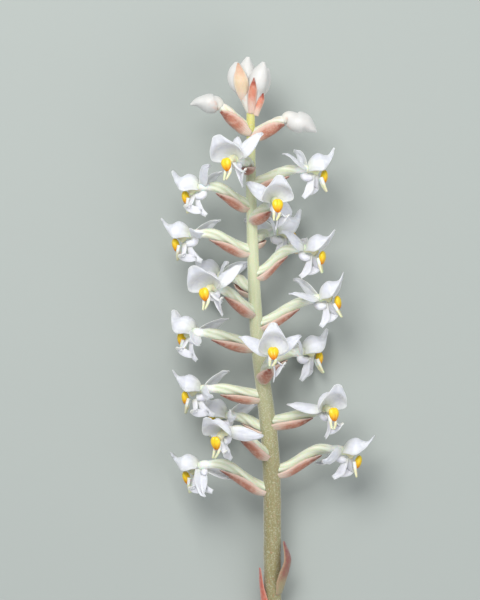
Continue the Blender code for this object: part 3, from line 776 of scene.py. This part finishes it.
def hair_white():
    paint = Paint("hair_white", Roughness=0.4)
    paint.colour(paint.mix(paint.noise(size=1.5), *HAIR_WHITES))
    return paint.material


def flower_place(flower):
    """The matrix from a flower's own frame to the spike's frame."""
    facing, tilt = math.radians(flower.facing), math.radians(flower.tilt)
    forward = Vector(
        (math.cos(facing) * math.cos(tilt), math.sin(tilt), math.sin(facing) * math.cos(tilt))
    )
    left = UP_THE_SPIKE.cross(forward).normalized()
    hoodward = forward.cross(left)
    upright = Matrix((forward, left, hoodward)).transposed()
    rolled = Matrix.Rotation(math.radians(flower.roll), 3, forward) @ upright
    return Matrix.Translation((flower.x, flower.y, flower.z)) @ rolled.to_4x4()


def ovary_line(height, end, end_heading, bend):
    """The line of an ovary, from the middle of the stem to the base of its flower. The bend is 0
    for a straight one, and 1 for one that leaves the stem level and ends along its flower."""
    start = along(STEM_LINE, stem_share(height))
    reach = end - start
    level = Vector((reach.x, 0, reach.z)).normalized() * reach.length + UP_THE_SPIKE * reach.y
    near_stem = start + reach.lerp(level, bend) * OVARY_BENDS_AT
    near_end = end - reach.lerp(end_heading * reach.length, bend) * OVARY_BENDS_AT
    return [start, near_stem, near_end, end]


def flower_ovary(flower):
    place = flower_place(flower)
    forward = (place @ Vector((1, 0, 0))) - place.translation
    return ovary_line(flower.height, place @ OVARY_END, forward, OVARY_BEND)


def bud_ovary(bud):
    first, second = vectors(bud.midline[:2])
    return ovary_line(bud.height, first, (second - first).normalized(), BUD_OVARY_BEND)


def neck_line(ovary):
    """The start of what an ovary carries: it leaves the ovary's end in line with it."""
    away = heading(ovary, 1)
    return [ovary[-1] - away * SUNK, ovary[-1] + away * NECK]


def hood_form(curl):
    """The half widths, turns and sags of a hood that is more or less rolled up or spread open."""
    other, share = (ROLLED_HOOD if curl > 0 else OPEN_HOOD), abs(curl)
    half_widths = blend(PLAIN_HOOD.half_widths, other.half_widths, share)
    turns = [math.radians(angle) for angle in blend(PLAIN_HOOD.turns, other.turns, share)]
    return half_widths, turns, blend(vectors(PLAIN_HOOD.sags), vectors(other.sags), share)


def hood_mesh(flower):
    """The hood: the upper sepal with a petal stuck to each side of it, along two shallow furrows."""
    half_widths, turns, sags = hood_form(flower.curl)
    seed = Vector((flower.x, flower.y, flower.z))

    def relief(side, share):
        seam = HOOD_SEAM + HOOD_SEAM_SPREAD * share
        furrow = math.exp(-(((abs(side) - seam) / HOOD_FURROW_WIDTH) ** 2)) * HOOD_FURROW
        keel = math.exp(-((side / KEEL_WIDTH) ** 2)) * HOOD_KEEL
        wave = noise.noise(seed + Vector((side * 2.0, share * 3.0, 0))) * HOOD_WAVE
        edge_wave = noise.noise(seed * 1.7 + Vector((side * 4.0, share * 7.0, 3.0))) * HOOD_EDGE_WAVE
        edge = smooth_step(HOOD_EDGE, 1, abs(side))
        return wave + keel - furrow * (1 - share * 0.5) + edge_wave * edge

    line = vectors(HOOD_CREST)
    return petal(line, half_widths, sags, turns, UP, HOOD_FACES, PETAL_THICKNESS, relief, HOOD_ROUNDNESS)


def sepal_mesh(flower, hand, sepal):
    """A lateral sepal, bent back from the flower's face. Hand is 1 on the flower's left."""
    lift, sweep, twist = [math.radians(angle) for angle in sepal]
    sideways = Vector((0, hand * math.cos(lift), math.sin(lift)))
    back = Vector((-math.cos(sweep), 0, 0)) - sideways * math.sin(sweep)
    out = sideways * math.cos(sweep) - Vector((math.sin(sweep), 0, 0))
    line = [back * -x + out * reach for x, reach in SEPAL_REACH]
    chord = line[-2] - line[0]
    outward = Matrix.Rotation(twist * hand, 3, chord) @ (Vector((1, 0, 0)) + sideways * SEPAL_SPLAY)
    outward.normalize()
    sags = [outward * -cup for cup in SEPAL_CUPS]
    seed = Vector((flower.y, flower.x, hand * 5.0))

    def relief(side, share):
        keel = math.exp(-((side / KEEL_WIDTH) ** 2)) * SEPAL_KEEL
        wave = noise.noise(seed + Vector((side * 2.0, share * 4.0, 0))) * SEPAL_WAVE
        return keel + wave * (0.3 + share)

    return petal(line, SEPAL_HALF_WIDTHS, sags, PETAL_TURNS, outward, SEPAL_FACES, PETAL_THICKNESS, relief)


def lip_meshes(flower):
    """The lip: a sac, two straps with a slit between them, and a slanting blade across their ends."""
    turn = Matrix.Rotation(math.radians(flower.turn), 4, "Z")
    swing = Matrix.Rotation(math.radians(-flower.swing), 4, "Y")
    sac = Vector(SAC_LINE[1])
    about_sac = Matrix.Translation(sac) @ turn @ swing @ Matrix.Translation(-sac)
    blades = [(LIP_LINE, LIP_HALF_WIDTHS, LIP_CUPS, LIP_OUTWARD, LIP_FACES)]
    for line, half_widths in zip(CLAW_EDGES, CLAW_HALF_WIDTHS):
        blades.append((line, half_widths, CLAW_CUPS, CLAW_OUTWARD, CLAW_FACES))
    meshes = []
    for line, half_widths, cups, side, faces in blades:
        outward = side.normalized()
        sags = [outward * -cup for cup in cups]
        meshes.append(petal(vectors(line), half_widths, sags, PETAL_TURNS, outward, faces, PETAL_THICKNESS))
    for mesh in meshes:
        bmesh.ops.transform(mesh, matrix=about_sac, verts=mesh.verts)
    meshes.append(rod(rod_surface(vectors(SAC_LINE), SAC_RADII, UP_THE_SPIKE), SAC_FACES))
    return meshes


def column_meshes(flower, place):
    """The column, from the end of the ovary, and the two prongs of its beak."""
    to_flower = place.inverted()
    line = [to_flower @ point for point in neck_line(flower_ovary(flower))] + vectors(COLUMN_LINE)
    meshes = [rod(rod_surface(line, COLUMN_RADII, COLUMN_UP), COLUMN_FACES)]
    for prong in BEAK_LINES:
        meshes.append(rod(rod_surface(vectors(prong), BEAK_RADII, UP), BEAK_FACES))
    return meshes


def make_flower(number, flower, materials):
    place = flower_place(flower)
    meshes = [painted(hood_mesh(flower), PETAL_SKIN)]
    for hand, sepal in ((1, flower.left), (-1, flower.right)):
        meshes.append(painted(sepal_mesh(flower, hand, sepal), PETAL_SKIN))
    meshes += [painted(mesh, LIP_SKIN) for mesh in lip_meshes(flower)]
    meshes += [painted(mesh, COLUMN_SKIN) for mesh in column_meshes(flower, place)]
    piece = join(f"white_flower_{number:02d}", meshes, materials, place)
    dress(piece, f"bloom_{number:02d}")


def make_anther(number, flower, material):
    """The anther cap: two swollen halves with a furrow between them, narrower towards the beak."""
    mesh = ball(ANTHER_RINGS)
    for vertex in mesh.verts:
        forward, across, upward = vertex.co
        furrow = ANTHER_FURROW * math.exp(-((across / ANTHER_FURROW_WIDTH) ** 2))
        vertex.co *= 1 - furrow * smooth_step(-ANTHER_FURROW_ENDS, ANTHER_FURROW_ENDS, forward)
        vertex.co.y *= 1 + ANTHER_TAPER * (upward - 1) / 2
    bmesh.ops.scale(mesh, vec=ANTHER_HALF_SIZES, verts=mesh.verts)
    bmesh.ops.translate(mesh, vec=ANTHER_CENTRE, verts=mesh.verts)
    piece = join(f"anther_cap_{number:02d}", [mesh], [material], flower_place(flower))
    dress(piece, f"anther_{number:02d}")


def ovary_shape(angle, share):
    return 1 - OVARY_RIDGE * math.cos(3 * angle) - OVARY_FINE_RIDGE * math.cos(6 * angle)


def stem_shape(angle, share):
    lumps = noise.noise(Vector((math.cos(angle) * 1.5, math.sin(angle) * 1.5, share * 40)))
    return 1 + STEM_RIDGE * math.cos(STEM_RIBS * angle) + STEM_LUMPS * lumps


def ovary_surfaces():
    lines = [flower_ovary(flower) for flower in FLOWERS] + [bud_ovary(bud) for bud in SIDE_BUDS]
    return [rod_surface(line, OVARY_RADII, UP_THE_SPIKE, ovary_shape, OVARY_TWIST) for line in lines]


def stem_surface():
    return rod_surface(STEM_LINE, STEM_RADII, UP, stem_shape)


def make_stem(materials):
    """The stem with all its ovaries. Its cut end is flat where it rests on the surface."""
    stem = rod(stem_surface(), STEM_FACES)
    for vertex in stem.verts:
        vertex.co.z = max(vertex.co.z, 0)
    meshes = [painted(stem, STEM_SKIN)]
    for number, surface in enumerate(ovary_surfaces()):
        skin = OVARY_SKIN if number < len(FLOWERS) else BUD_STALK_SKIN
        meshes.append(painted(rod(surface, OVARY_FACES), skin))
    dress(join("stem_and_ovaries", meshes, materials), "stem")


def bract_mesh(ovary, shares, outward):
    """The bract that holds an ovary from outside, between some shares of the ovary's length."""
    drops = [drop - BRACT_INSET for drop in BRACT_DROPS]
    line = [along(ovary, share) + outward * drop for share, drop in zip(shares, drops)]
    sags = [outward * -cup for cup in BRACT_CUPS]

    def relief(side, share):
        return noise.noise(line[3] + Vector((side * 2.5, share * 4, 0))) * BRACT_WAVE

    return petal(line, BRACT_HALF_WIDTHS, sags, PETAL_TURNS, outward, BRACT_FACES, BRACT_THICKNESS, relief)


def make_bracts(material):
    meshes = [bract_mesh(flower_ovary(flower), BRACT_SHARES, BRACT_OUTWARD) for flower in FLOWERS]
    meshes += [bract_mesh(bud_ovary(bud), BUD_BRACT_SHARES, BUD_BRACT_OUTWARD) for bud in SIDE_BUDS]
    dress(join("ovary_bracts", meshes, [material]), "stem")


def make_side_bud(bud, material):
    """A bud just opening, in line with its ovary."""
    line = neck_line(bud_ovary(bud)) + vectors(bud.midline[1:])

    def shape(angle, share):
        return 1 + SIDE_BUD_FOLDS * math.cos(3 * angle + share * 2) * smooth_step(0.1, 0.6, share)

    mesh = rod(rod_surface(line, bud.radii, UP, shape), SIDE_BUD_FACES)
    side = bud.name.removeprefix("bud_")
    dress(join(f"opening_bud_{side}", [mesh], [material]), bud.name)


def make_tip_buds(bud_material, bract_materials):
    """The unopened buds, spreading from one root above the end of the stem, and their bracts."""

    def shape(angle, share):
        return 1 + TIP_BUD_FOLDS * math.cos(3 * angle) * smooth_step(0.2, 0.7, share)

    root = TIP_BUD_ROOT - UP_THE_SPIKE * ROOT_SUNK
    surfaces = [rod_surface([root] + vectors(line), TIP_BUD_RADII, UP, shape) for line in TIP_BUDS]
    meshes = [rod(surface, TIP_BUD_FACES) for surface in surfaces]
    dress(join("tip_bud_cluster", meshes, [bud_material]), "tip_buds")
    sags = [UP * -cup for cup in TIP_BRACT_CUPS]
    for bract in TIP_BRACTS:
        line = vectors(bract.line)
        mesh = petal(line, bract.half_widths, sags, PETAL_TURNS, UP, BRACT_FACES, BRACT_THICKNESS)
        piece = join(f"tip_bract_{bract.name}", [mesh], [bract_materials[bract.name]])
        dress(piece, "tip_buds")


def make_sheath_bract(sheath, material):
    """A bract that clasps the stem at its base and stands off from it towards its tip."""
    around = math.radians(sheath.direction)
    outward = Vector((math.cos(around), 0, math.sin(around)))
    places = [along(STEM_LINE, stem_share(height)) for height in sheath.heights]
    reaches = (sheath.reaches[0] - SHEATH_INSET, *sheath.reaches[1:])
    line = [place + outward * reach for place, reach in zip(places, reaches)]
    turns = [math.radians(cover) for cover in sheath.covers]
    half_widths = [reach * math.sin(turn) for reach, turn in zip(reaches, turns)]
    sags = [outward * (reach * (math.cos(turn) - 1)) for reach, turn in zip(reaches, turns)]
    mesh = petal(line, half_widths, sags, turns, outward, SHEATH_FACES, BRACT_THICKNESS)
    side = sheath.name.removeprefix("sheath_bract_")
    dress(join(f"red_sheath_{side}", [mesh], [material]), sheath.name)


def hair_roots(surface, count, draw, shares=(0.0, 1.0)):
    """Random roots on a rod's surface, each with the direction and length of its hair. What would
    reach below the surface that the spike lies on is left out."""
    roots = []
    step = SMALL_STEP
    for _ in range(count):
        around = draw.random()
        share = draw.uniform(*shares)
        place = surface(around, share)
        ahead = surface(around, min(share + step, 1)) - surface(around, max(share - step, 0))
        aside = surface(around + step, share) - surface(around - step, share)
        outward = ahead.cross(aside).normalized()
        outward += Vector([draw.uniform(-HAIR_LEAN, HAIR_LEAN) for _ in range(3)])
        hair = outward.normalized() * draw.uniform(*HAIR_LENGTHS)
        if min(place.z, place.z + hair.z) > HAIR_RADIUS:
            roots.append((place, hair))
    return roots


def make_hairs(name, roots, material):
    """Straight hairs, each a three-sided cone, all from one cone that an array repeats."""
    cone = bmesh.new()
    bmesh.ops.create_cone(cone, segments=HAIR_SIDES, radius1=HAIR_RADIUS, radius2=0, depth=1)
    bmesh.ops.translate(cone, vec=(0, 0, 0.5), verts=cone.verts)
    corners = np.array([vertex.co for vertex in cone.verts])
    single = bpy.data.meshes.new("hair")
    cone.to_mesh(single)
    cone.free()
    seed = bpy.data.objects.new("hair", single)
    bpy.context.scene.collection.objects.link(seed)
    row = seed.modifiers.new("row", "ARRAY")
    row.count = len(roots)
    row.use_relative_offset = False
    row.use_merge_vertices = False
    bpy.context.view_layer.update()
    data = bpy.data.meshes.new_from_object(seed.evaluated_get(bpy.context.evaluated_depsgraph_get()))
    bpy.data.objects.remove(seed)

    places = np.array([place - BOX_MIDDLE for place, _ in roots])
    lengths = np.array([hair for _, hair in roots])
    directions = lengths / np.linalg.norm(lengths, axis=1, keepdims=True)
    across = np.cross(directions, np.roll(directions, 1, axis=1))
    across /= np.linalg.norm(across, axis=1, keepdims=True)
    aside = np.cross(directions, across)
    points = (
        places[:, None]
        + corners[None, :, 0:1] * across[:, None]
        + corners[None, :, 1:2] * aside[:, None]
        + corners[None, :, 2:3] * lengths[:, None]
    )
    data.vertices.foreach_set("co", (points * MM).ravel())
    data.update()
    data.name = name
    data.materials.append(material)
    piece = bpy.data.objects.new(name, data)
    bpy.context.scene.collection.objects.link(piece)
    dress(piece, "stem")


def make_all_hairs(material):
    draw = random.Random(HAIR_SEED)
    roots = hair_roots(stem_surface(), STEM_HAIRS, draw)
    make_hairs("stem_hairs", roots, material)
    roots = []
    for surface in ovary_surfaces():
        roots += hair_roots(surface, HAIRS_PER_OVARY, draw, HAIRY_PART_OF_OVARY)
    make_hairs("ovary_hairs", roots, material)


def make_surroundings():
    """A plain pale floor, a soft key light beyond the tip, a weaker one opposite, and a pale dome."""
    mesh = bmesh.new()
    bmesh.ops.create_grid(mesh, x_segments=1, y_segments=1, size=FLOOR_SIZE)
    data = bpy.data.meshes.new("pale_floor")
    mesh.to_mesh(data)
    mesh.free()
    floor = bpy.data.objects.new("pale_floor", data)
    bpy.context.scene.collection.objects.link(floor)
    paint = Paint("floor_paint", Roughness=0.8)
    paint.shader.inputs["Base Color"].default_value = rgb(FLOOR_GREY)
    data.materials.append(paint.material)

    for light in LIGHTS:
        lamp = bpy.data.lights.new(light.name, "AREA")
        lamp.shape = "SQUARE"
        lamp.size = light.size
        lamp.energy = light.energy
        holder = bpy.data.objects.new(light.name, lamp)
        holder.location = light.place
        holder.rotation_euler = (-Vector(light.place)).to_track_quat("-Z", "Y").to_euler()
        bpy.context.scene.collection.objects.link(holder)

    world = bpy.data.worlds.new("pale_dome")
    world.use_nodes = True
    sky = world.node_tree.nodes["Background"]
    sky.inputs["Color"].default_value = DOME_COLOUR
    sky.inputs["Strength"].default_value = DOME_STRENGTH
    bpy.context.scene.world = world
    bpy.context.scene.view_settings.view_transform = "Standard"


def make_camera():
    """Straight above the middle of the photograph's frame, with a long lens, as its places were read."""
    middle_x = (PHOTO_SIZE[0] / 2 - SPIKE_ORIGIN_PIXEL[0]) * PIXEL
    middle_y = (SPIKE_ORIGIN_PIXEL[1] - PHOTO_SIZE[1] / 2) * PIXEL
    view_height = max(PHOTO_SIZE) * PIXEL * MM
    lens = bpy.data.cameras.new("camera")
    lens.sensor_width = SENSOR / MM
    lens.lens = LENS / MM
    camera = bpy.data.objects.new("camera", lens)
    place = (Vector((middle_x, middle_y, PICTURE_PLANE)) - BOX_MIDDLE) * MM
    camera.location = place + UP * (LENS * view_height / SENSOR)
    bpy.context.scene.collection.objects.link(camera)
    bpy.context.scene.camera = camera


def main():
    make_surroundings()
    make_camera()
    skins = [white_petal("petal_white", PETAL_WHITE), white_petal("lip_white", LIP_WHITE), column_green()]
    yellow = anther_yellow()
    for number, flower in enumerate(FLOWERS, 1):
        make_flower(number, flower, skins)
        make_anther(number, flower, yellow)
    ovary_skin = ribbed_skin("ovary_green", OVARY_GREENS)
    make_stem([stem_green(), ovary_skin, ribbed_skin("bud_stalk_cream", BUD_STALK_CREAMS)])
    make_bracts(bract_skin("bract_brown", BRACT_BROWN))
    cream = bud_skin()
    for bud in SIDE_BUDS:
        make_side_bud(bud, cream)
    red = bract_skin("bract_red", BRACT_RED)
    make_tip_buds(cream, {"front": red, "left": bract_skin("bract_ochre", BRACT_OCHRE), "right": red})
    sheath_skins = (bract_skin("sheath_maroon", SHEATH_MAROON), bract_skin("sheath_scarlet", SHEATH_SCARLET))
    for sheath, material in zip(SHEATHS, sheath_skins):
        make_sheath_bract(sheath, material)
    make_all_hairs(hair_white())


main()
